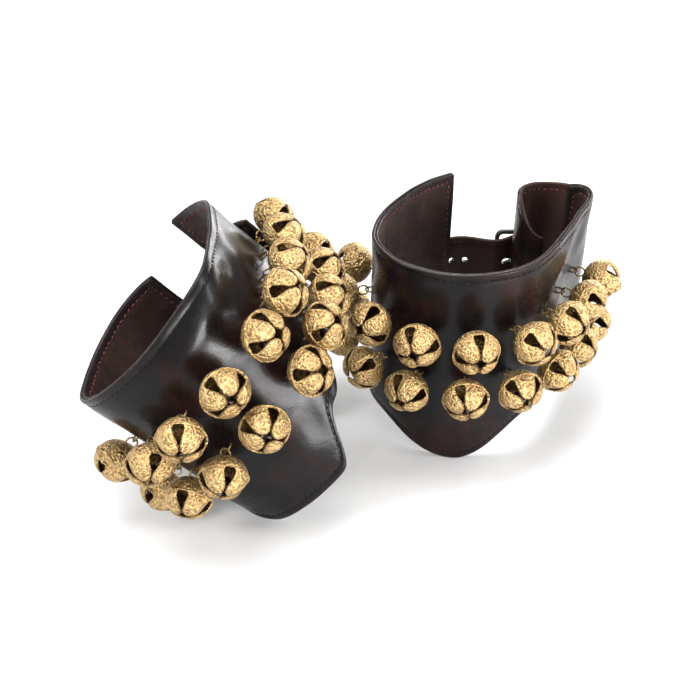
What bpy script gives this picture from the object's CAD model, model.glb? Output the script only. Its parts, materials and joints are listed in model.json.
import json
import math
import random

import bmesh
import bpy
import numpy as np
from mathutils import Matrix, Vector, noise


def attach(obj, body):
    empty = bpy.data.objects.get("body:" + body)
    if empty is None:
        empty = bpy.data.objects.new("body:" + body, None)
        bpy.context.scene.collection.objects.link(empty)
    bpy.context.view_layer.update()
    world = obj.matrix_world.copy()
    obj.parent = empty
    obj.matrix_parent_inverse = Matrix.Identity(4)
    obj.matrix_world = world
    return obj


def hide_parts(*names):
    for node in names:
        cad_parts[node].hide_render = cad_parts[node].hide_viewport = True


# A pair of glossy dark leather ankle cuffs with two rows of hammered brass pellet bells each.
# Shapes are worked out in millimetres, in each cuff's own frame (local +Z up the cuff, local -Y its front),
# and put in the pair's frame, in metres, by the cuff's matrix.

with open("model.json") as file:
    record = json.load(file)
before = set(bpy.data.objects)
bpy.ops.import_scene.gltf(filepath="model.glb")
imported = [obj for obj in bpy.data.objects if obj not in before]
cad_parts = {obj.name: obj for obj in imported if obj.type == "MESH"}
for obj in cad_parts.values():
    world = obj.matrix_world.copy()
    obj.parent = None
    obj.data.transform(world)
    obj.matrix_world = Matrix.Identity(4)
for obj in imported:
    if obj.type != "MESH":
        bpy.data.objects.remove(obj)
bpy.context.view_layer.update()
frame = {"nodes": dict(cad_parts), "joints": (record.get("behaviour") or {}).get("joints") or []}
MM = 0.001
SIDES = ("right", "left")

OUTER_THICKNESS = 1.7
LINING_THICKNESS = 1.2
LAYER_GAP = 0.1
MOUTH = 43.5
STRAP_MIDDLE = -11.0
STRAP_WIDTH = 28.0
STRAP_THICKNESS = 2.4
FLAP_BOTTOM = -28.0
FLAP_TRIM = 22.0
FLAP_DROP = 18.0
FLAP_THICKNESS = 2.4
CHAPE_THICKNESS = 1.4
CHAPE_WIDTH = 26.0
KEEPER_THICKNESS = 1.2
KEEPER_WIDTH = 7.0
STITCH_INSET = 3.7

# Places along the strap are in steps of one 59th of its length, from its sewn end.
STRAP_STEPS = 59
STRAP_HOLES = (22, 17, 12)
KEEPER_STEP = 52
HOLE_RADIUS = 1.6
PRONG_SLOT_MIDDLE = 7.7

# The plan curves repeat the cuffs' design: outline of the outer face from its left end round the front,
# hem as (distance along, height), and the strap and flap of the closure.
CUFFS = {
    "right": {
        "origin": (51.56, 28.9, 63.05),
        "tilt": (0.0, 0.0, 0.0),
        "outline": [(-6, 54), (-22, 42), (-38, 21), (-48, -2), (-47, -22), (-34, -40), (-13, -49),
                    (8, -48), (27, -36), (42, -13), (54, 10), (62, 27), (61, 38), (52, 41)],
        "hem": [(0, -63), (22, -62), (58, -45), (92, -46), (142, -63), (182, -45), (222, -46), (273, -63)],
        "closure": (38, 57.5),
        "heading": 0.0,
        "lap": (4, 24),
        "bridge": [(3, 57.5)],
        "flap_start": [(62, 44), (56, 49.5)],
        "flap_end": [(31, 48), (28, 39), (31, 30), (40, 26)],
        "flap_top": 38,
    },
    "left": {
        "origin": (-67.64, -23.5, 62.6),
        "tilt": (0.9, -45.6, 24.1),
        "outline": [(10, 25), (2, 31), (-14, 32), (-31, 21), (-43, 2), (-46, -20), (-34, -36), (-12, -46),
                    (10, -46), (30, -37), (42, -14), (50, 10), (52, 34), (46, 54), (33, 66)],
        "hem": [(0, -60), (30, -58), (58, -46), (78, -48), (108, -61), (148, -62), (171, -38), (200, -25.5),
                (293, -25.5)],
        "closure": (24.5, 72.8),
        "heading": 12.0,
        "lap": (36, 56),
        "bridge": [(-17.5, 34.5), (-12, 43), (-4, 52.5)],
        "flap_start": [(56.5, 42), (52, 54), (44.5, 64.5)],
        "flap_end": [],
        "flap_top": 20,
    },
}
STRAP_LINE = [(-16.6, -3.8), (-8, 1.0), (0, 5.5), (8, 6.6), (16, 6.2), (24, 4.4)]
FLAP_LINE = [(12, -5.6), (6, -5.0), (0, -5.2)]
CHAPE_LINE = [(11, -2.75), (4, -2.75), (0, -2.75), (-1.95, -1.95), (-2.75, 0), (-1.95, 1.95), (0, 2.75),
              (5, 0.9), (11, -1.2)]

# Soft folds of each cuff: (distance along, height, angle in degrees, length, width, depth), depth outwards.
FOLDS = {
    "right": [(208, 26, 38, 34, 7, 2.0), (198, 14, 40, 30, 8, -1.6), (236, 18, 70, 22, 8, 1.2),
              (70, 20, 80, 24, 12, -0.9), (110, 24, 85, 20, 10, 0.7), (146, 28, 10, 26, 8, -0.5),
              (150, -48, 5, 22, 7, 0.6)],
    "left": [(150, 28, 18, 40, 6, 1.4), (172, 18, 24, 34, 7, -1.5), (205, 22, 55, 26, 7, 1.2),
             (120, 10, 30, 30, 8, -0.9), (175, -20, 62, 30, 6, 1.0), (186, -32, 65, 24, 6, -1.0),
             (100, 30, 20, 26, 9, 0.8), (140, -40, 12, 24, 8, 0.6)],
}


# ---------------------------------------------------------------- curves and frames

def cuff_matrix(side):
    about_axis, lean, tip = (math.radians(a) for a in CUFFS[side]["tilt"])
    turn = Matrix.Rotation(lean, 4, "Y") @ Matrix.Rotation(about_axis, 4, "X") @ Matrix.Rotation(tip, 4, "Z")
    return Matrix.Translation(Vector(CUFFS[side]["origin"])) @ turn


def closure_matrix(side):
    """The buckle's own frame within its cuff: origin on the pivot bar, +Y away from the ankle."""
    x, y = CUFFS[side]["closure"]
    heading = math.radians(CUFFS[side]["heading"])
    return Matrix.Translation((x, y, STRAP_MIDDLE)) @ Matrix.Rotation(heading, 4, "Z")


def from_closure(side, points):
    here = closure_matrix(side)
    moved = [here @ Vector((x, y, 0)) for x, y in points]
    return [(p.x, p.y) for p in moved]


def end_slope(distances, points):
    """The slope, at the first point, of the cubic through the first four."""
    return np.polyfit(distances[:4] - distances[0], points[:4], 3)[2]


def spline(points, spacing=1.4):
    """Evenly spaced points, and their distances, along the smooth curve through a list of plan points."""
    points = np.array(points, float)
    gaps = np.linalg.norm(np.diff(points, axis=0), axis=1)
    at = np.concatenate([[0], np.cumsum(gaps)])
    count = len(at)
    matrix = np.eye(count)
    wanted = np.zeros((count, 2))
    steps = np.diff(points, axis=0) / gaps[:, None]
    wanted[0] = end_slope(at, points)
    wanted[-1] = end_slope(at[::-1], points[::-1])
    for i in range(1, count - 1):
        before, after = gaps[i - 1], gaps[i]
        matrix[i, i - 1:i + 2] = after, 2 * (before + after), before
        wanted[i] = 3 * (after * steps[i - 1] + before * steps[i])
    slopes = np.linalg.solve(matrix, wanted)
    fine = []
    for i in range(count - 1):
        t = np.linspace(0, 1, 30, endpoint=i == count - 2)[:, None]
        fine.append((2 * t**3 - 3 * t**2 + 1) * points[i] + (t**3 - 2 * t**2 + t) * gaps[i] * slopes[i]
                    + (3 * t**2 - 2 * t**3) * points[i + 1] + (t**3 - t**2) * gaps[i] * slopes[i + 1])
    fine = np.concatenate(fine)
    along = np.concatenate([[0], np.cumsum(np.linalg.norm(np.diff(fine, axis=0), axis=1))])
    even = np.linspace(0, along[-1], max(8, int(along[-1] / spacing)))
    return np.stack([np.interp(even, along, fine[:, k]) for k in (0, 1)], axis=1), even


def eased(profile, where):
    """Heights read from (distance, height) pairs, with a level, eased passage at each pair."""
    at = np.array([p[0] for p in profile], float)
    heights = np.array([p[1] for p in profile], float)
    span = np.clip(np.searchsorted(at, where, side="right") - 1, 0, len(at) - 2)
    share = np.clip((where - at[span]) / (at[span + 1] - at[span]), 0, 1)
    return heights[span] + (heights[span + 1] - heights[span]) * (1 - np.cos(np.pi * share)) / 2


# ---------------------------------------------------------------- making pieces

def linked(name, data):
    """A new object in the scene."""
    made = bpy.data.objects.new(name, data)
    bpy.context.scene.collection.objects.link(made)
    return made


def new_piece(name, verts, faces, material, smooth=True):
    mesh = bpy.data.meshes.new(name)
    mesh.from_pydata([tuple(v) for v in verts], [], faces)
    mesh.update()
    mesh.polygons.foreach_set("use_smooth", [smooth] * len(mesh.polygons))
    mesh.materials.append(material)
    return linked(name, mesh)


def outward_normals(mesh):
    """Turns every face of a closed mesh outwards."""
    work = bmesh.new()
    work.from_mesh(mesh)
    bmesh.ops.recalc_face_normals(work, faces=work.faces)
    work.to_mesh(mesh)
    work.free()


def paint(mesh, name, values):
    """A number for each vertex, for the material to read."""
    attribute = mesh.attributes.new(name, "FLOAT", "POINT")
    attribute.data.foreach_set("value", np.asarray(values, np.float32))


def to_pair(points, matrix):
    """Local millimetres to the pair's frame in metres."""
    turn = np.array(matrix.to_3x3())
    shift = np.array(matrix.translation)
    return (np.asarray(points, float) @ turn.T + shift) * MM


def mount_piece(piece, body, slot, *nodes):
    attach(piece, body)
    if nodes:
        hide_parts(*nodes)
    return piece


def applied(piece):
    """Applies a piece's modifiers to its mesh."""
    graph = bpy.context.evaluated_depsgraph_get()
    made = bpy.data.meshes.new_from_object(piece.evaluated_get(graph))
    piece.modifiers.clear()
    piece.data = made
    return piece


def punched(piece, cutters):
    """Cuts holes through a piece."""
    for cutter in cutters:
        hole = piece.modifiers.new("hole", "BOOLEAN")
        hole.operation = "DIFFERENCE"
        hole.solver = "EXACT"
        hole.object = cutter
    applied(piece)
    for cutter in cutters:
        bpy.data.objects.remove(cutter)
    return piece


# ---------------------------------------------------------------- leather sheets
# Lengths here are in millimetres.

# Rows of points near a sheet's edges, and columns near its ends, by their distance from them.
EDGE_ROWS = (0.7, 1.5, 2.4, 3.1, 3.7, 4.3, 5.4, 7.5)
END_COLUMNS = (0.0, 0.06, 0.22, 0.55)
FIRST_INNER_COLUMN = 0.9
ROUNDING = 0.7
GROOVE_SPREAD = 0.8
WEAR_REACH = 1.1
MARGIN_FADE = 0.6


class Sheet:
    """A sheet of leather standing on a plan curve, with rounded edges and a sewn groove inside them.

    low and high are heights, or functions of the distance along; outer and inner are its faces' offsets from
    the curve; lift is how far it stands out of the curve at a (distance, height).
    """

    def __init__(self, place, points, low, high, outer, inner,
                 lift=None, closed=False, groove=0.0, rows=34):
        self.place = place
        self.plan, self.along = closed_plan(points) if closed else spline(points)
        self.length = self.along[-1]
        self.closed = closed
        self.low = low if callable(low) else (lambda where: np.full(np.shape(where), float(low)))
        self.high = high if callable(high) else (lambda where: np.full(np.shape(where), float(high)))
        self.outer, self.inner = outer, inner
        self.lift = lift or (lambda where, height: np.zeros(np.shape(where)))
        self.groove, self.rows = groove, rows

    def plan_at(self, where):
        """Plan points and outward normals at distances along the curve."""
        point = np.stack([np.interp(where, self.along, self.plan[:, k]) for k in (0, 1)], axis=-1)
        slope = np.gradient(self.plan, axis=0)
        if self.closed:
            slope[0] = slope[-1] = self.plan[1] - self.plan[-2]
        slope /= np.linalg.norm(slope, axis=1)[:, None]
        across = np.stack([np.interp(where, self.along, slope[:, 1]),
                           -np.interp(where, self.along, slope[:, 0])], axis=-1)
        return point, across / np.linalg.norm(across, axis=-1, keepdims=True)

    def inset(self, where, height):
        """How far a place is from the sheet's nearest edge."""
        edge = np.minimum(height - self.low(where), self.high(where) - height)
        if not self.closed:
            edge = np.minimum(edge, np.minimum(where, self.length - where))
        return np.maximum(edge, 0)

    def at(self, where, height, offset):
        point, across = self.plan_at(where)
        out = np.asarray(offset + self.lift(where, height))[..., None]
        return np.concatenate([point + across * out, np.asarray(height)[..., None]], axis=-1)

    def mesh(self, name, material, napped=0):
        """The sheet as a closed solid; napped is 1 or -1 if its outer or inner face shows rough leather."""
        where = self.along[:-1]
        if not self.closed:
            where = self.along
            ends = np.array(END_COLUMNS)
            middle = where[(where > FIRST_INNER_COLUMN) & (where < self.length - FIRST_INNER_COLUMN)]
            where = np.concatenate([ends, middle, self.length - ends[::-1]])
        low, high = self.low(where)[:, None], self.high(where)[:, None]
        end = np.minimum(where, self.length - where)[:, None]
        full = np.ones_like(end) if self.closed else np.sqrt(
            np.clip(1 - np.clip(1 - end / ROUNDING, 0, 0.97) ** 2, 0, 1))
        pull = ROUNDING * (1 - full)
        low, high = low + pull, high - pull
        edge = np.array(EDGE_ROWS)
        edge = edge[edge < (high - low).min() / 2 - 1]
        share = np.linspace(0, 1, self.rows)[None, 1:-1]
        start, stop = low + edge[-1], high - edge[-1]
        rise = np.concatenate([low + edge, start + (stop - start) * share, high - edge[::-1]], axis=1)
        middle = (self.outer + self.inner) / 2
        half = (self.outer - self.inner) / 2
        arc = np.radians(np.arange(15, 180, 25))[None, :]
        top_out, top_z = middle + half * np.cos(arc) * full, high - ROUNDING * (1 - np.sin(arc))
        low_out, low_z = middle - half * np.cos(arc) * full, low + ROUNDING * (1 - np.sin(arc))
        sewn = self.inset(where[:, None], rise)
        sink = self.groove * np.exp(-((sewn - STITCH_INSET) / GROOVE_SPREAD) ** 2)
        face_out = middle + (half - sink) * full
        face_in = middle - (half - sink) * full
        out = np.concatenate([face_out, top_out, face_in[:, ::-1], low_out], axis=1)
        height = np.concatenate([rise, top_z, rise[:, ::-1], low_z], axis=1)
        spread = np.broadcast_to(where[:, None], out.shape)
        verts = self.at(spread, height, out)
        rings, count = out.shape
        faces = []
        last = rings if self.closed else rings - 1
        for i in range(last):
            a, b = i * count, (i + 1) % rings * count
            for j in range(count):
                k = (j + 1) % count
                faces.append((a + j, b + j, b + k, a + k))
        if not self.closed:
            faces.append(tuple(range(count)))
            faces.append(tuple((rings - 1) * count + j for j in reversed(range(count))))
        piece = new_piece(name, to_pair(verts.reshape(-1, 3), self.place), faces, material)
        outward_normals(piece.data)
        inset = self.inset(spread, height)
        paint(piece.data, "worn", np.exp(-inset / WEAR_REACH).ravel())
        paint(piece.data, "margin", np.clip((STITCH_INSET - inset) / MARGIN_FADE, 0, 1).ravel())
        side = np.sign(out - middle) * napped
        paint(piece.data, "napped", np.clip(side, 0, 1).ravel())
        return piece


def closed_plan(points):
    """A ready-made closed ring of plan points, with the first repeated at its end."""
    ring = np.array(list(points) + [points[0]], float)
    along = np.concatenate([[0], np.cumsum(np.linalg.norm(np.diff(ring, axis=0), axis=1))])
    return ring, along


def stitches(name, sheet, runs, face, material, seed, ragged, pitch=3.1, length=2.3):
    """Rows of sewn thread on a sheet's outer (face 1) or inner (-1) face, neat (ragged 0) or loose (1).

    A run is a list of (distance, height) corners; pitch and length are a stitch's, in millimetres.
    """
    chance = random.Random(seed)
    girth = 0.34 + 0.16 * ragged
    ball, tris = thread_bead()
    verts, faces = [], []
    for run in runs:
        run = np.array(run, float)
        steps = np.linalg.norm(np.diff(run, axis=0), axis=1)
        at = np.concatenate([[0], np.cumsum(steps)])
        fine = np.arange(0, at[-1], 0.35)
        where, height = (np.interp(fine, at, run[:, k]) for k in (0, 1))
        offset = sheet.outer - sheet.groove if face > 0 else sheet.inner + sheet.groove
        path = sheet.at(where, height, np.full(where.shape, offset))
        travelled = np.concatenate([[0], np.cumsum(np.linalg.norm(np.diff(path, axis=0), axis=1))])
        across = sheet.plan_at(where)[1] * face
        middle = pitch / 2
        while middle < travelled[-1] - pitch / 3:
            i = min(int(np.searchsorted(travelled, middle)), len(path) - 2)
            tangent = path[min(i + 2, len(path) - 1)] - path[max(i - 2, 0)]
            tangent /= np.linalg.norm(tangent)
            normal = np.array([across[i][0], across[i][1], 0])
            beside = np.cross(normal, tangent)
            slant = math.radians(chance.uniform(4, 14) + ragged * chance.uniform(-30, 30))
            tangent = tangent * math.cos(slant) + beside * math.sin(slant)
            beside = np.cross(normal, tangent)
            size = length / 2 * chance.uniform(0.86, 1.08)
            stray = chance.uniform(-0.12, 0.12) * (1 + ragged)
            centre = path[i] + normal * (0.08 + 0.1 * ragged) + beside * stray
            base = len(verts)
            for x, y, z in ball:
                rise = z * 0.3 - 0.16 * x * x
                verts.append(centre + tangent * x * size + beside * y * girth + normal * rise)
            faces += [tuple(base + v for v in f) for f in tris]
            middle += pitch
    return new_piece(name, to_pair(np.array(verts), sheet.place), faces, material)


def thread_bead():
    """One stitch: a small capsule along X, as vertices and faces."""
    rings, around = 5, 6
    verts = [(-1.0, 0.0, 0.0)]
    for i in range(1, rings):
        x = -math.cos(math.pi * i / rings)
        girth = math.sin(math.pi * i / rings) ** 0.6
        for j in range(around):
            turn = 2 * math.pi * j / around
            verts.append((x, girth * math.cos(turn), girth * math.sin(turn)))
    verts.append((1.0, 0.0, 0.0))
    faces = []
    for j in range(around):
        k = (j + 1) % around
        faces.append((0, 1 + k, 1 + j))
        for i in range(rings - 2):
            a = 1 + i * around
            faces.append((a + j, a + k, a + around + k, a + around + j))
        end = 1 + (rings - 2) * around
        faces.append((end + j, end + k, len(verts) - 1))
    return verts, faces


# ---------------------------------------------------------------- materials

class Finish:
    """A procedural material: a Principled shader with helpers for its nodes."""

    def __init__(self, name, **sockets):
        self.material = bpy.data.materials.new(name)
        self.material.use_nodes = True
        self.nodes = self.material.node_tree.nodes
        self.links = self.material.node_tree.links
        self.shader = self.nodes["Principled BSDF"]
        self.place = self.nodes.new("ShaderNodeTexCoord").outputs["Object"]
        for socket, value in sockets.items():
            self.shader.inputs[socket.replace("_", " ")].default_value = value

    def noise(self, scale, detail=3.0, rough=0.55, stretch=(1, 1, 1)):
        place = self.place
        if stretch != (1, 1, 1):
            mapping = self.nodes.new("ShaderNodeMapping")
            mapping.inputs["Scale"].default_value = stretch
            self.links.new(self.place, mapping.inputs["Vector"])
            place = mapping.outputs["Vector"]
        made = self.nodes.new("ShaderNodeTexNoise")
        made.inputs["Scale"].default_value = scale
        made.inputs["Detail"].default_value = detail
        made.inputs["Roughness"].default_value = rough
        self.links.new(place, made.inputs["Vector"])
        return made.outputs["Fac"]

    def cells(self, scale):
        made = self.nodes.new("ShaderNodeTexVoronoi")
        made.inputs["Scale"].default_value = scale
        self.links.new(self.place, made.inputs["Vector"])
        return made.outputs["Distance"]

    def attribute(self, name):
        made = self.nodes.new("ShaderNodeAttribute")
        made.attribute_name = name
        return made.outputs["Fac"]

    def spread(self, value, low, high, start=0.0, end=1.0):
        made = self.nodes.new("ShaderNodeMapRange")
        ends = {"From Min": low, "From Max": high, "To Min": start, "To Max": end}
        for socket, number in ends.items():
            made.inputs[socket].default_value = number
        self.links.new(value, made.inputs["Value"])
        return made.outputs["Result"]

    def mix(self, share, first, second):
        made = self.nodes.new("ShaderNodeMix")
        made.data_type = "RGBA"
        for socket, colour in ((made.inputs[6], first), (made.inputs[7], second)):
            if isinstance(colour, tuple):
                socket.default_value = (*colour, 1)
            else:
                self.links.new(colour, socket)
        self.links.new(share, made.inputs[0])
        return made.outputs[2]

    def add(self, first, second):
        made = self.nodes.new("ShaderNodeMath")
        self.links.new(first, made.inputs[0])
        self.links.new(second, made.inputs[1])
        return made.outputs[0]

    def bump(self, height, strength, distance, under=None):
        made = self.nodes.new("ShaderNodeBump")
        made.inputs["Strength"].default_value = strength
        made.inputs["Distance"].default_value = distance
        self.links.new(height, made.inputs["Height"])
        if under:
            self.links.new(under, made.inputs["Normal"])
        return made.outputs["Normal"]

    def done(self, colour, roughness=None, normal=None):
        self.links.new(colour, self.shader.inputs["Base Color"])
        if roughness:
            self.links.new(roughness, self.shader.inputs["Roughness"])
        if normal:
            self.links.new(normal, self.shader.inputs["Normal"])
        return self.material


def glossy_leather(name, deep, warm, edge):
    """Polished dark leather: red-brown mottling, fine grain, stretched wrinkles and worn edges."""
    made = Finish(name, IOR=1.26, Coat_Weight=0.05, Coat_Roughness=0.1)
    patches = made.spread(made.noise(38, 4, 0.6), 0.45, 0.75)
    streaks = made.spread(made.noise(90, 3, 0.6, (1.0, 1.0, 0.25)), 0.45, 0.8, 0.0, 0.6)
    colour = made.mix(patches, deep, warm)
    colour = made.mix(streaks, colour, deep)
    colour = made.mix(made.spread(made.attribute("worn"), 0.25, 1.0, 0.0, 0.75), colour, edge)
    nap = made.attribute("napped")
    colour = made.mix(nap, colour, (0.03, 0.013, 0.01))
    roughness = made.spread(made.noise(55, 5, 0.65), 0.3, 0.75, 0.22, 0.42)
    roughness = made.add(roughness, made.spread(nap, 0, 1, 0, 0.35))
    grain = made.bump(made.cells(1500), 0.08, 0.0003)
    pores = made.bump(made.noise(700, 2, 0.5), 0.08, 0.0004, grain)
    wrinkles = made.bump(made.noise(130, 5, 0.62, (0.6, 0.6, 1.6)), 0.16, 0.0012, pores)
    return made.done(colour, roughness, wrinkles)


def suede(name, deep, warm):
    """The napped lining: matt, mottled, with a soft grain."""
    made = Finish(name, Specular_IOR_Level=0.2, Sheen_Weight=0.06, Sheen_Roughness=0.5)
    made.shader.inputs["Sheen Tint"].default_value = (0.55, 0.33, 0.28, 1)
    colour = made.mix(made.spread(made.noise(60, 5, 0.65), 0.35, 0.7), deep, warm)
    colour = made.mix(made.spread(made.noise(900, 2, 0.5), 0.5, 0.8, 0.0, 0.5), colour, warm)
    margin = made.attribute("margin")
    colour = made.mix(margin, colour, (0.012, 0.008, 0.008))
    roughness = made.spread(made.noise(220, 3, 0.6), 0.3, 0.7, 0.5, 0.8)
    roughness = made.add(roughness, made.spread(margin, 0, 1, 0, -0.2))
    nap = made.bump(made.noise(1100, 3, 0.6), 0.3, 0.0004)
    creases = made.bump(made.noise(120, 4, 0.6), 0.3, 0.0012, nap)
    return made.done(colour, roughness, creases)


def hammered_brass(name):
    """Antique gold brass, beaten all over, darker in its dents and dark brown inside."""
    made = Finish(name, Metallic=1.0)
    ripples = made.noise(820, 2.0, 0.5)
    patina = made.spread(made.noise(240, 4, 0.6), 0.35, 0.75)
    colour = made.mix(patina, (0.62, 0.43, 0.2), (0.4, 0.265, 0.115))
    colour = made.mix(made.spread(ripples, 0.54, 0.36, 0.0, 0.75), colour, (0.17, 0.105, 0.042))
    colour = made.mix(made.attribute("inside"), colour, (0.15, 0.092, 0.04))
    roughness = made.spread(made.noise(420, 4, 0.6), 0.3, 0.7, 0.32, 0.48)
    beaten = made.bump(ripples, 1.0, 0.0018)
    fine = made.bump(made.noise(1900, 3, 0.6), 0.3, 0.0003, beaten)
    return made.done(colour, roughness, fine)


def metal(name, deep, warm, roughness, metallic, scale):
    """Plain wire, pellet or painted metal with a slight tarnish."""
    made = Finish(name, Metallic=metallic)
    colour = made.mix(made.spread(made.noise(scale, 4, 0.6), 0.35, 0.7), deep, warm)
    rough = made.spread(made.noise(scale * 2, 4, 0.6), 0.3, 0.7, roughness - 0.08, roughness + 0.12)
    return made.done(colour, rough, made.bump(made.noise(scale * 4, 3, 0.6), 0.15, 0.0002))


def thread(name, deep, warm):
    """Waxed sewing thread, twisted."""
    made = Finish(name, Specular_IOR_Level=0.15)
    colour = made.mix(made.spread(made.noise(500, 3, 0.6), 0.35, 0.7), deep, warm)
    return made.done(colour, made.spread(made.noise(900), 0.3, 0.7, 0.45, 0.7),
                     made.bump(made.noise(2600, 2, 0.5), 0.5, 0.0002))


LEATHER = glossy_leather("outer_leather", (0.003, 0.0025, 0.003), (0.02, 0.006, 0.005), (0.02, 0.013, 0.011))
STRAP_LEATHER = glossy_leather("strap_leather", (0.004, 0.003, 0.003), (0.022, 0.008, 0.007),
                               (0.026, 0.016, 0.013))
LINING = suede("lining_leather", (0.009, 0.0045, 0.004), (0.034, 0.016, 0.012))
BRASS = hammered_brass("hammered_brass")
WIRE = metal("brass_wire", (0.24, 0.16, 0.07), (0.1, 0.065, 0.028), 0.4, 1.0, 400)
PELLET = metal("pellet_steel", (0.16, 0.14, 0.12), (0.07, 0.055, 0.045), 0.3, 1.0, 300)
BLACK = metal("black_metal", (0.012, 0.012, 0.013), (0.03, 0.028, 0.026), 0.35, 0.0, 250)
DARK_THREAD = thread("dark_thread", (0.002, 0.0015, 0.0015), (0.01, 0.004, 0.004))
RED_THREAD = thread("red_thread", (0.06, 0.014, 0.013), (0.16, 0.05, 0.045))


# ---------------------------------------------------------------- the cuffs' leather

def folds(side):
    """How far the leather stands out of its plain curve, in soft folds and a slow unevenness."""
    def lift(where, height):
        where, height = np.broadcast_arrays(np.asarray(where, float), np.asarray(height, float))
        total = np.zeros(where.shape)
        for s0, z0, angle, length, width, depth in FOLDS[side]:
            c, s = math.cos(math.radians(angle)), math.sin(math.radians(angle))
            along = (where - s0) * c + (height - z0) * s
            aside = (height - z0) * c - (where - s0) * s
            total += depth * np.exp(-(along / length) ** 2 - (aside / width) ** 2)
        flat, up = where.ravel(), height.ravel()
        wave = [noise.noise((a / 26, b / 20, 3.7)) * 0.9 + noise.noise((a / 11, b / 9, 8.1)) * 0.28
                for a, b in zip(flat, up)]
        # the middle, where the bells' staples go through, stays near the plain curve
        still = np.clip((np.abs(height) - 16) / 12, 0.2, 1)
        return (total + np.array(wave).reshape(where.shape)) * still
    return lift


def box_run(sheet):
    """A line of sewing all round a sheet, inside its edges."""
    where = np.linspace(STITCH_INSET, sheet.length - STITCH_INSET, 160)
    top = sheet.high(where) - STITCH_INSET
    foot = sheet.low(where) + STITCH_INSET
    return [list(zip(where, top)), list(zip(where, foot)),
            [(where[0], foot[0]), (where[0], top[0])], [(where[-1], foot[-1]), (where[-1], top[-1])]]


def make_leather(side):
    cuff = CUFFS[side]
    lift = folds(side)

    def hem(where):
        return eased(cuff["hem"], np.asarray(where, float))

    def mouth(where):
        return MOUTH - 0.5 + 0.5 * np.sin(np.asarray(where) / 17) * np.cos(np.asarray(where) / 41)

    here = cuff_matrix(side)
    outer = Sheet(here, cuff["outline"], hem, mouth, 0.0, -OUTER_THICKNESS, lift, groove=0.3)
    skin = outer.mesh(f"{side}_leather_skin", LEATHER)
    mount_piece(skin, f"{side}_cuff", "outer_leather", f"{side}_outer_leather")
    back = -OUTER_THICKNESS - LAYER_GAP
    inner = Sheet(here, cuff["outline"], lambda w: hem(w) + 0.8, lambda w: mouth(w) - 0.3,
                  back, back - LINING_THICKNESS, lift, groove=0.25)
    lining = inner.mesh(f"{side}_lining_skin", LINING)
    mount_piece(lining, f"{side}_cuff", "lining_leather", f"{side}_lining")
    sew(side, outer, "outer", 1, DARK_THREAD, "outer_leather")
    sew(side, inner, "lining", -1, RED_THREAD, "lining_leather")


def sew(side, sheet, tag, face, material, slot):
    """Sewing all round one face of a sheet, on the cuff."""
    ragged = float(material is RED_THREAD)
    sewn = stitches(f"{side}_{tag}_stitching", sheet, box_run(sheet), face, material, len(tag), ragged)
    mount_piece(sewn, f"{side}_cuff", slot)


# ---------------------------------------------------------------- the closure

def strap_points(side):
    cuff = CUFFS[side]
    outline, along = spline(cuff["outline"], 0.5)
    slope = np.gradient(outline, axis=0)
    slope /= np.linalg.norm(slope, axis=1)[:, None]
    near, far = cuff["lap"]
    sewn = []
    for number in range(5):
        i = int(np.searchsorted(along, far + (near - far) * number / 4))
        lift = STRAP_THICKNESS / 2 + 2 * LAYER_GAP
        sewn.append((outline[i, 0] + slope[i, 1] * lift, outline[i, 1] - slope[i, 0] * lift))
    return sewn + cuff["bridge"] + from_closure(side, STRAP_LINE)


def cutter(matrix, radius, depth, stretch=1.0):
    """A round-ended tool for punching leather: its axis is local Y."""
    verts, faces = [], []
    around = 20
    for end in (-depth, depth):
        for j in range(around):
            turn = 2 * math.pi * (j + 0.5) / around
            x = radius * math.cos(turn)
            x += math.copysign((stretch - 1) * radius, x)
            verts.append(matrix @ Vector((x, end, radius * math.sin(turn))) * MM)
    for j in range(around):
        k = (j + 1) % around
        faces.append((j, k, around + k, around + j))
    faces.append(tuple(reversed(range(around))))
    faces.append(tuple(range(around, 2 * around)))
    tool = new_piece("punch", verts, faces, BLACK, smooth=False)
    outward_normals(tool.data)
    return tool


def make_strap(side):
    half = STRAP_WIDTH / 2
    cuff = cuff_matrix(side)
    sheet = Sheet(cuff, strap_points(side), STRAP_MIDDLE - half, STRAP_MIDDLE + half,
                  STRAP_THICKNESS / 2, -STRAP_THICKNESS / 2, groove=0.25, rows=14)
    strap = sheet.mesh(f"{side}_strap", STRAP_LEATHER, napped=1)
    slot = cuff @ closure_matrix(side) @ Matrix.Translation((-PRONG_SLOT_MIDDLE, 0, 0))
    tools = [cutter(slot, HOLE_RADIUS, depth=7, stretch=3.6)]
    for step in STRAP_HOLES:
        hole = cuff @ strap_seat(sheet, step) @ Matrix.Rotation(-math.pi / 2, 4, "Z")
        tools.append(cutter(hole, HOLE_RADIUS, depth=5))
    punched(strap, tools)
    mount_piece(strap, f"{side}_cuff", "strap_leather", f"{side}_closure_strap")
    sew(side, sheet, "strap_outer", 1, DARK_THREAD, "strap_leather")
    sew(side, sheet, "strap_inner", -1, DARK_THREAD, "strap_leather")


def make_flap(side):
    cuff = CUFFS[side]
    line = cuff["flap_start"] + from_closure(side, FLAP_LINE) + cuff["flap_end"]
    length = spline(line)[1][-1]
    top = cuff["flap_top"]
    shoulder = [(0, top), (length - FLAP_TRIM, top), (length, top - FLAP_DROP)]
    sheet = Sheet(cuff_matrix(side), line, FLAP_BOTTOM,
                  lambda where: eased(shoulder, np.asarray(where, float)),
                  FLAP_THICKNESS / 2, -FLAP_THICKNESS / 2, groove=0.25)
    flap = sheet.mesh(f"{side}_flap", STRAP_LEATHER, napped=-1)
    mount_piece(flap, f"{side}_cuff", "strap_leather", f"{side}_buckle_flap")
    sew(side, sheet, "flap_outer", 1, DARK_THREAD, "strap_leather")
    sew(side, sheet, "flap_inner", -1, RED_THREAD, "strap_leather")


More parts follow.
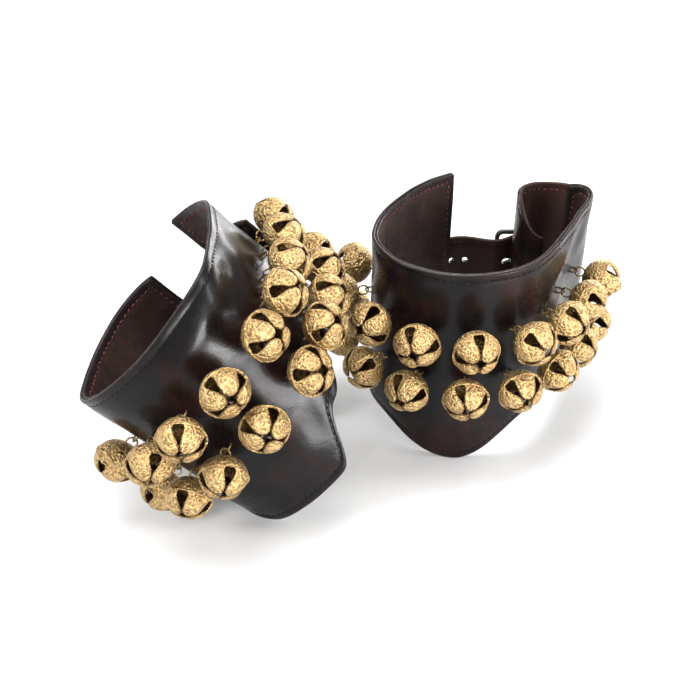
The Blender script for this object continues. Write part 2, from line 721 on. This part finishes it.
def make_chape(side):
    half = CHAPE_WIDTH / 2
    cuff = cuff_matrix(side)
    sheet = Sheet(cuff, from_closure(side, CHAPE_LINE), STRAP_MIDDLE - half, STRAP_MIDDLE + half,
                  CHAPE_THICKNESS / 2, -CHAPE_THICKNESS / 2, rows=12)
    chape = sheet.mesh(f"{side}_chape", STRAP_LEATHER)
    notch = cuff @ closure_matrix(side) @ Matrix.Translation((-0.5, 0, 0))
    punched(chape, [cutter(notch, 3.5, depth=6, stretch=1.3)])
    mount_piece(chape, f"{side}_cuff", "strap_leather", f"{side}_buckle_chape")


def strap_seat(sheet, step):
    """A frame on the strap's middle line, a number of steps along it: X out of its face, Z up its width."""
    point, across = sheet.plan_at(np.array([sheet.length * step / STRAP_STEPS]))
    turn = Matrix.Rotation(math.atan2(across[0][1], across[0][0]), 4, "Z")
    return Matrix.Translation((*point[0], STRAP_MIDDLE)) @ turn


def make_keeper(side):
    """The loop round the strap."""
    strap = Sheet(cuff_matrix(side), strap_points(side), 0, 1, 0, 0)
    slack = 1.0
    deep = STRAP_THICKNESS / 2 + slack
    wide = STRAP_WIDTH / 2 + slack
    ring = [(x, z) for x, _, z in rounded_loop(-deep, deep, -wide, wide, radius=0.9, steps=5)]
    upright = Matrix.Rotation(math.pi / 2, 4, "X")
    seat = cuff_matrix(side) @ strap_seat(strap, KEEPER_STEP) @ upright
    band = Sheet(seat, ring, -KEEPER_WIDTH / 2, KEEPER_WIDTH / 2, KEEPER_THICKNESS / 2, -KEEPER_THICKNESS / 2,
                 closed=True, rows=6)
    keeper = band.mesh(f"{side}_keeper", STRAP_LEATHER)
    mount_piece(keeper, f"{side}_cuff", "strap_leather", f"{side}_strap_keeper")


def tube(name, path, radius, material, matrix, closed=False, around=12, up=(0, 1, 0)):
    """A bar with a rounded square section, swept along a path that is level in the given direction."""
    path = np.array(path, float)
    if closed:
        slope = np.roll(path, -1, axis=0) - np.roll(path, 1, axis=0)
    else:
        slope = np.gradient(path, axis=0)
    slope /= np.linalg.norm(slope, axis=1)[:, None]
    radius = np.broadcast_to(radius, len(path))
    up = np.array(up, float)
    verts, faces = [], []
    for p, t, r in zip(path, slope, radius):
        aside = np.cross(t, up)
        aside /= np.linalg.norm(aside)
        over = np.cross(aside, t)
        for j in range(around):
            turn = 2 * math.pi * j / around
            c, s = math.cos(turn), math.sin(turn)
            square = (abs(c) ** 3.2 + abs(s) ** 3.2) ** (-1 / 3.2)
            verts.append(p + (aside * c + over * s) * r * square)
    rings = len(path)
    for i in range(rings if closed else rings - 1):
        a, b = i * around, (i + 1) % rings * around
        for j in range(around):
            k = (j + 1) % around
            faces.append((a + j, a + k, b + k, b + j))
    if not closed:
        faces.append(tuple(range(around)))
        faces.append(tuple((rings - 1) * around + j for j in reversed(range(around))))
    made = new_piece(name, to_pair(np.array(verts), matrix), faces, material)
    outward_normals(made.data)
    return made


def rounded_loop(x0, x1, z0, z1, radius, steps=7):
    """A rounded rectangle in the local X-Z plane."""
    ring = []
    corners = ((x1, z1, 0), (x0, z1, 90), (x0, z0, 180), (x1, z0, 270))
    for x, z, start in corners:
        cx = x - math.copysign(radius, x - (x0 + x1) / 2)
        cz = z - math.copysign(radius, z - (z0 + z1) / 2)
        for step in range(steps):
            angle = math.radians(start + 90 * step / (steps - 1))
            ring.append((cx + radius * math.cos(angle), 0, cz + radius * math.sin(angle)))
    return ring


FRAME_REACH, FRAME_HALF_WIDTH, FRAME_CORNER, FRAME_BAR = 16.6, 16.8, 3.2, 1.25
PRONG_SLOPE = 3.3 / 18.4
PRONG_EYE = 2.55


def make_buckle(side):
    """The frame, in the closure's X-Z plane with its pivot bar at the origin, and the prong on that bar."""
    here = cuff_matrix(side) @ closure_matrix(side)
    loop = rounded_loop(-FRAME_REACH, 0.0, -FRAME_HALF_WIDTH, FRAME_HALF_WIDTH, FRAME_CORNER)
    ring = tube(f"{side}_frame_loop", loop, FRAME_BAR, BLACK, here, closed=True)
    mount_piece(ring, f"{side}_frame", "black_metal", f"{side}_buckle_frame")
    turns = [math.radians(a) for a in range(150, -181, -15)]
    eye = [(PRONG_EYE * math.cos(turn), PRONG_EYE * math.sin(turn), 0) for turn in turns]
    rod = [(-x, PRONG_SLOPE * x, 0) for x in (4.0, 7.0, 11.0, 15.0, 17.4, 18.0)]
    girth = [0.55] * len(eye) + [0.85, 0.95, 0.95, 0.9, 0.7, 0.4]
    prong = tube(f"{side}_prong_bar", eye + rod, girth, BLACK, here, around=10, up=(0, 0, 1))
    mount_piece(prong, f"{side}_prong", "black_metal", f"{side}_buckle_prong")


# ---------------------------------------------------------------- the bells

# A bell's own frame has its hinge at the origin and +Z out of the bell; the rim is BELL_REACH along it.
BELL_RADIUS, BELL_HALF_HEIGHT, BELL_REACH = 10.5, 9.2, 12.4
BELL_WALL, BELL_BEAD = 0.8, 0.42
SHANK_RING, SHANK_WIRE, SHANK_OFFSET = 2.5, 0.45, 1.25
AROUND = 96

# Petals: angles above the rim in degrees, and half widths in millimetres.
PETAL_SHOULDER, PETAL_TIP = 24, 78.5
PETAL_HALF_WIDTH, RIM_FLARE = 5.3, 0.9
WIDEST_PETAL = math.radians(44)


def petal_half_width(climb):
    """Half the width of a petal, in millimetres, at an angle above the rim."""
    share = max(0.0, (climb - PETAL_SHOULDER) / (PETAL_TIP - PETAL_SHOULDER))
    return PETAL_HALF_WIDTH * math.sqrt(max(0.0, 1 - share ** 2)) + RIM_FLARE * math.exp(-(climb / 7) ** 2)


def bell_surface(seed, bent):
    """The cup and the four folded petals as one thin surface, the first petal opened out by bent."""
    chance = random.Random(seed)
    verts, faces = [], []

    def dome(climb, turn, drop=0.0):
        radius = (BELL_RADIUS - drop) * math.cos(climb)
        return (radius * math.cos(turn), radius * math.sin(turn),
                BELL_REACH + (BELL_HALF_HEIGHT - drop) * math.sin(climb))

    cup_rows = 12
    lowest = -math.pi / 2 * 0.97
    for i in range(cup_rows + 1):
        climb = lowest * (1 - i / cup_rows)
        verts += [dome(climb, 2 * math.pi * j / AROUND) for j in range(AROUND)]
    for i in range(cup_rows):
        for j in range(AROUND):
            k = (j + 1) % AROUND
            faces.append((i * AROUND + j, i * AROUND + k, (i + 1) * AROUND + k, (i + 1) * AROUND + j))
    faces.append(tuple(reversed(range(AROUND))))
    rim = cup_rows * AROUND
    rows, half_count = 18, 9
    lean_out, lean_up = 4, 2.5
    for petal in range(4):
        centre = math.pi / 4 + petal * math.pi / 2
        tuck = chance.uniform(0.0, 0.5)
        open_out = bent if petal == 0 else 0.0
        first = int(round(centre / (2 * math.pi) * AROUND))
        below = [rim + (first + j) % AROUND for j in range(-half_count, half_count + 1)]
        for i in range(1, rows + 1):
            share = i / rows
            degrees = PETAL_TIP * (1 - (1 - share) ** 1.15)
            climb = math.radians(degrees)
            reach = BELL_RADIUS * math.cos(climb)
            spread = min(petal_half_width(degrees) / max(reach, 0.1), WIDEST_PETAL)
            row = []
            for j in range(-half_count, half_count + 1):
                v = j / half_count
                curl = 0.75 * abs(v) ** 4 * min(1, share * 3) + tuck * share ** 2 + 0.35 * share ** 6
                x, y, z = dome(climb, centre + v * max(spread, 0.02), curl)
                lean = open_out * share ** 1.5
                out = lean * lean_out
                row.append(len(verts))
                verts.append((x + math.cos(centre) * out, y + math.sin(centre) * out, z + lean * lean_up))
            for a, b, c, d in zip(below, below[1:], row[1:], row):
                faces.append((a, b, c, d))
            below = row
    return verts, faces


def beaten(point, seed):
    """How far a place on the shell is beaten out or in: broad dents and smaller ones."""
    x, y, z = point
    broad = noise.noise((x * 0.4 + seed * 9.1, y * 0.4, z * 0.4))
    small = noise.noise((x * 0.95, y * 0.95 + seed * 5.3, z * 0.95))
    return 0.1 * broad + 0.2 * small


def ring_mesh(work, centre, big, small, axis, around, section, wobble=0.0):
    """Adds a wire ring to a bmesh: its radius is big, its wire's radius small."""
    x_axis = Vector(axis).orthogonal().normalized()
    y_axis = Vector(axis).cross(x_axis)
    grid = []
    for i in range(around):
        turn = 2 * math.pi * i / around
        out = x_axis * math.cos(turn) + y_axis * math.sin(turn)
        girth = small * (1 + wobble * noise.noise((out.x * 3, out.y * 3, out.z * 3 + 7)))
        spot = Vector(centre) + out * big
        grid.append([work.verts.new(spot + (out * math.cos(a) + Vector(axis) * math.sin(a)) * girth)
                     for a in (2 * math.pi * k / section for k in range(section))])
    for i in range(around):
        for k in range(section):
            near, far = grid[i], grid[(i + 1) % around]
            work.faces.new((near[k], far[k], far[(k + 1) % section], near[(k + 1) % section]))


def finished(work, mesh, inside):
    """Moves a bmesh in millimetres to a smooth mesh in metres, with how far inside its first points are."""
    bmesh.ops.recalc_face_normals(work, faces=work.faces)
    bmesh.ops.scale(work, vec=(MM, MM, MM), verts=work.verts)
    work.to_mesh(mesh)
    work.free()
    mesh.polygons.foreach_set("use_smooth", [True] * len(mesh.polygons))
    paint(mesh, "inside", inside + [0.0] * (len(mesh.vertices) - len(inside)))
    return mesh


def bell_mesh(seed, bent=0.0):
    """One detailed bell, in metres, in the bell's own frame."""
    verts, faces = bell_surface(seed, bent)
    shell = new_piece("bell_shell", verts, faces, BRASS)
    outward_normals(shell.data)
    wall = shell.modifiers.new("wall", "SOLIDIFY")
    wall.thickness = BELL_WALL
    wall.offset = -1
    wall.use_even_offset = True
    applied(shell)
    mesh = shell.data
    normals = [v.normal.copy() for v in mesh.vertices]
    inside = []
    for vertex, normal in zip(mesh.vertices, normals):
        point = vertex.co.copy()
        flat = math.hypot(point.x, point.y) / BELL_RADIUS
        tall = (point.z - BELL_REACH) / BELL_HALF_HEIGHT
        depth = math.hypot(flat, tall)
        within = min(1.0, max(0.0, (0.955 - depth) / 0.03))
        inside.append(within)
        vertex.co = point + normal * beaten(point, seed) * (1 - within)
    work = bmesh.new()
    work.from_mesh(mesh)
    ring_mesh(work, (0, 0, BELL_REACH), BELL_RADIUS + 0.02, BELL_BEAD, (0, 0, 1), AROUND, 8, 0.35)
    bpy.data.objects.remove(shell)
    return finished(work, mesh, inside)


def shank_mesh():
    """The wire ring on a bell's back, in metres, in the bell's frame: its axis is the hinge's."""
    work = bmesh.new()
    ring_mesh(work, (0, 0, SHANK_OFFSET), SHANK_RING, SHANK_WIRE, (1, 0, 0), 28, 8)
    mesh = bpy.data.meshes.new("bell_shank")
    mesh.materials.append(BRASS)
    return finished(work, mesh, [])


def bell_place(node, joint):
    """A bell's frame (+Z faces out, X is its hinge) and the turn of its slits in it, as in the CAD."""
    hinge = np.array(joint["pos_m"], float)
    across = np.array(joint["axis"], float)
    mesh = frame["nodes"][node].data
    mesh.calc_loop_triangles()
    spots = np.array([v.co for v in mesh.vertices], float)
    corners = spots[np.array([t.vertices for t in mesh.loop_triangles])]
    area = np.array([t.area for t in mesh.loop_triangles])
    centres = corners.mean(axis=1)
    facing = (centres * area[:, None]).sum(axis=0) / area.sum() - hinge
    facing -= across * facing.dot(across)
    facing /= np.linalg.norm(facing)
    beside = np.cross(facing, across)
    local = centres - hinge
    front = local @ facing > (BELL_REACH + 3) * MM
    turn = np.arctan2(local @ beside, local @ across)
    fourfold = (area * front * np.exp(4j * turn)).sum()
    roll = (np.angle(fourfold) - math.pi) / 4
    place = Matrix([[across[k], beside[k], facing[k], hinge[k]] for k in range(3)] + [[0, 0, 0, 1]])
    return place, Matrix.Rotation(roll, 4, "Z")


def make_bells():
    """Every bell: one of a few hand-beaten shapes, hung where the frame has it."""
    shapes = [bell_mesh(seed) for seed in range(6)]
    bent_shape = bell_mesh(9, 0.8)
    shank = shank_mesh()
    hung = [j for j in frame["joints"] if "_bell_" in j["child"]]
    for number, joint in enumerate(hung):
        node = joint["child"]
        bent = node == "right_upper_bell_9"
        mesh = bent_shape if bent else shapes[(number * 5 + number // 9) % len(shapes)]
        bell = linked(node.replace("bell_", "bell_shell_"), mesh)
        quarter = Matrix.Rotation(math.pi / 2 * (number % 4), 4, "Z")
        place, roll = bell_place(node, joint)
        bell.matrix_world = place @ roll if bent else place @ roll @ quarter
        mount_piece(bell, node, "bell_brass", node)
        ring = linked(node.replace("bell_", "bell_shank_"), shank)
        ring.matrix_world = place
        mount_piece(ring, node, "bell_brass")


def finish_cad_nodes():
    """The nodes that keep their CAD shape: staples and pellets."""
    for side in SIDES:
        for node, material in ((f"{side}_bell_staples", WIRE), (f"{side}_pellets", PELLET)):
            mesh = frame["nodes"][node].data
            mesh.materials.clear()
            mesh.materials.append(material)


# ---------------------------------------------------------------- the room

def make_floor():
    mesh = bpy.data.meshes.new("floor")
    size = 6.0
    corners = [(-size, -size, 0), (size, -size, 0), (size, size, 0), (-size, size, 0)]
    mesh.from_pydata(corners, [], [(0, 1, 2, 3)])
    floor = linked("floor", mesh)
    made = Finish("pale_floor", Roughness=0.7)
    made.done(made.mix(made.noise(3, 2, 0.5), (0.6, 0.6, 0.6), (0.62, 0.62, 0.62)))
    mesh.materials.append(made.material)


def lamp(name, place, aim, size, power):
    data = bpy.data.lights.new(name, "AREA")
    data.shape = "RECTANGLE"
    data.size, data.size_y = size
    data.energy = power
    made = linked(name, data)
    made.location = place
    made.rotation_euler = (Vector(aim) - Vector(place)).to_track_quat("-Z", "Y").to_euler()


def make_lights():
    world = bpy.data.worlds.new("studio")
    world.use_nodes = True
    world.node_tree.nodes["Background"].inputs["Color"].default_value = (1, 1, 1, 1)
    world.node_tree.nodes["Background"].inputs["Strength"].default_value = 0.6
    bpy.context.scene.world = world
    aim = (0, 0, 0.05)
    lamp("overhead", (-0.15, 0.1, 1.05), aim, (0.8, 0.7), 16)
    lamp("left_softbox", (-0.85, -0.45, 0.65), aim, (0.25, 0.6), 9)
    lamp("right_softbox", (0.85, -0.1, 0.6), aim, (0.2, 0.6), 5)
    lamp("front_softbox", (0.72, -0.7, 0.2), aim, (0.45, 0.3), 15)
    lamp("back_softbox", (0.5, 0.86, 0.16), aim, (0.9, 0.3), 8)
    bpy.context.scene.view_settings.view_transform = "Standard"


CAMERA_AIM = Vector((-0.0074, 0.0089, 0.045))
CAMERA_DISTANCE = 0.5
CAMERA_ELEVATION = math.radians(35.5)
CAMERA_LENS = 51.9


def make_camera():
    data = bpy.data.cameras.new("camera")
    data.lens = CAMERA_LENS
    camera = linked("camera", data)
    back = Vector((0, -math.cos(CAMERA_ELEVATION), math.sin(CAMERA_ELEVATION)))
    camera.location = CAMERA_AIM + back * CAMERA_DISTANCE
    camera.rotation_euler = (-back).to_track_quat("-Z", "Y").to_euler()
    bpy.context.scene.camera = camera


# ---------------------------------------------------------------- the scene

make_camera()
make_floor()
make_lights()
for side in SIDES:
    make_leather(side)
    make_strap(side)
    make_flap(side)
    make_chape(side)
    make_keeper(side)
    make_buckle(side)
make_bells()
finish_cad_nodes()
